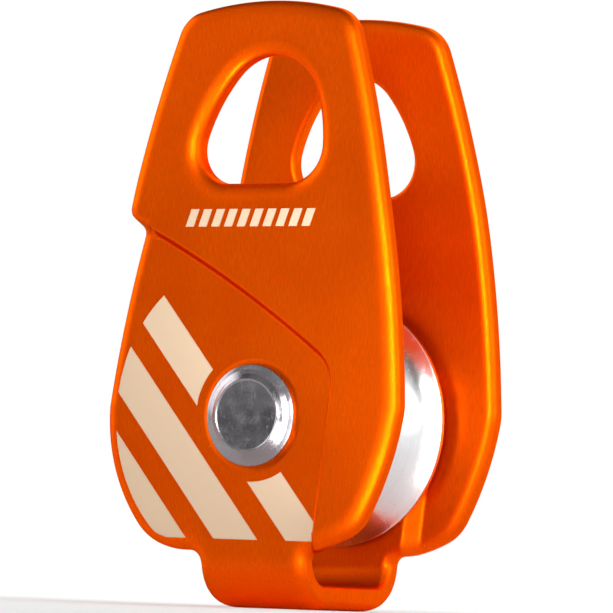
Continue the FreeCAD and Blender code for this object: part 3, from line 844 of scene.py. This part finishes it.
# ------------------------------------------------------------------ floor, light, camera
def make_floor():
    """A pale floor under the bridge, which glows a little behind the part."""
    mesh = bpy.data.meshes.new("floor")
    size = 6.0                  # metres from the middle to each side
    z = -BRIDGE_DROP * MM
    mesh.from_pydata([(-size, -size, z), (size, -size, z), (size, size, z), (-size, size, z)],
                     [], [(0, 1, 2, 3)])
    floor = bpy.data.objects.new("floor", mesh)
    bpy.context.scene.collection.objects.link(floor)
    shader = Shader("floor_pale")
    cloud = shader.noise(0.004, (1, 1, 1), 2.0, 0.5)
    shade = shader.mix_colour(cloud, (0.86, 0.86, 0.86, 1), (0.90, 0.90, 0.90, 1))
    away = shader.ramp(shader.y, 0.0, 600.0, 0.0, 0.55)
    shader.set(Emission_Color=(1, 1, 1, 1), Emission_Strength=away)
    floor.data.materials.append(shader.set(Base_Color=shade, Roughness=0.6))


def area_light(name, place, target, size, power, spread=180):
    data = bpy.data.lights.new(name, "AREA")
    data.shape = "RECTANGLE"
    data.size, data.size_y = size
    data.energy = power
    data.spread = math.radians(spread)
    light = bpy.data.objects.new(name, data)
    light.location = place
    light.rotation_euler = (Vector(target) - Vector(place)).to_track_quat("-Z", "Y").to_euler()
    light.visible_camera = False
    bpy.context.scene.collection.objects.link(light)


def softbox(room, way, inner, outer, strength):
    """A round soft panel in a direction; inner and outer are the angles of its full light and
    of its end, in degrees."""
    way = Vector(way).normalized()
    share = room.ramp(room.dot(room.way, way), math.cos(math.radians(outer)),
                      math.cos(math.radians(inner)), soft=True)
    return room.product(share, strength)


def strip_light(room, turn, inner, outer, low, high, strength):
    """An upright panel: its turn and half widths in degrees, its lower and upper end as
    heights on the sphere of directions."""
    turn = math.radians(turn)
    aside = room.math("ABSOLUTE", room.dot(room.way, (math.cos(turn), math.sin(turn), 0)))
    ahead = room.ramp(room.dot(room.way, (math.sin(turn), -math.cos(turn), 0)), 0.0, 0.1)
    share = room.ramp(aside, math.sin(math.radians(inner)), math.sin(math.radians(outer)),
                      1.0, 0.0, soft=True)
    up = room.dot(room.way, (0, 0, 1))
    ends = room.product(room.ramp(up, low - 0.1, low, soft=True),
                        room.ramp(up, high, high + 0.1, 1.0, 0.0, soft=True))
    return room.product(share, ahead, ends, strength)


def make_light():
    """A dim room with a white sweep behind the part, a few soft panels and three small lamps."""
    world = bpy.data.worlds.new("studio")
    bpy.context.scene.world = world
    world.use_nodes = True
    room = Nodes(world.node_tree)
    back = room.node("ShaderNodeBackground")
    back.inputs["Color"].default_value = (1, 1, 1, 1)
    room.link(back.outputs[0], room.node("ShaderNodeOutputWorld").inputs[0])
    room.way = room.node("ShaderNodeTexCoord").outputs["Generated"]
    level = room.ramp(room.dot(room.way, (0.66, 0.75, 0)), -0.15, 0.6, 0.098, 1.0)
    for panel in (softbox(room, (-0.30, -0.75, 0.60), 18, 38, 0.38),
                  softbox(room, (-0.90, -0.12, 0.36), 9, 25, 3.5),
                  softbox(room, (0.63, -0.19, 0.71), 12, 34, 0.4),
                  softbox(room, (0.95, -0.30, 0.05), 14, 38, 2.6),
                  strip_light(room, 22, 5, 9, -0.45, 0.3, 28.0)):
        level = room.math("ADD", level, panel)
    seen = room.node("ShaderNodeLightPath").outputs["Is Camera Ray"]
    level = room.math("ADD", room.product(level, room.math("SUBTRACT", 1.0, seen)), seen)
    room.link(level, back.inputs["Strength"])
    area_light("back", (-0.10, 0.50, 0.60), (0, 0, 0.0), (0.45, 0.45), 1.2)
    area_light("corner", (-0.095, -0.140, 0.085), (-0.012, -0.013, 0.047), (0.045, 0.045), 0.006)
    area_light("low", (0.022, -0.042, -0.0235), (0.010, -0.012, 0.010), (0.020, 0.050), 0.02, 80)


def make_camera():
    """Camera a little below the middle of the part, turned about the part's upright axis."""
    turn, rise, roll = math.radians(31.6), math.radians(3.2), math.radians(2.1)
    far, per_mm, view = 650.0, 7.875, 613
    aim = Vector((-math.sin(turn) * math.cos(rise), math.cos(turn) * math.cos(rise),
                  math.sin(rise)))
    flat = Vector((math.cos(turn), math.sin(turn), 0))
    up = flat.cross(aim)
    right = flat * math.cos(roll) + up * math.sin(roll)
    top = up * math.cos(roll) - flat * math.sin(roll)
    offset_right, offset_up = 0.5585, 14.4223
    place = aim * -far + right * offset_right + top * offset_up
    data = bpy.data.cameras.new("camera")
    data.sensor_width = 36.0
    data.lens = per_mm * far / view * data.sensor_width
    data.clip_start, data.clip_end = 0.01, 20.0
    camera = bpy.data.objects.new("camera", data)
    matrix = Matrix((right, top, -aim)).transposed().to_4x4()
    matrix.translation = place * MM
    camera.matrix_world = matrix
    bpy.context.scene.collection.objects.link(camera)
    bpy.context.scene.camera = camera


make_camera()
make_light()
make_floor()
bpy.context.scene.view_settings.view_transform = "Standard"
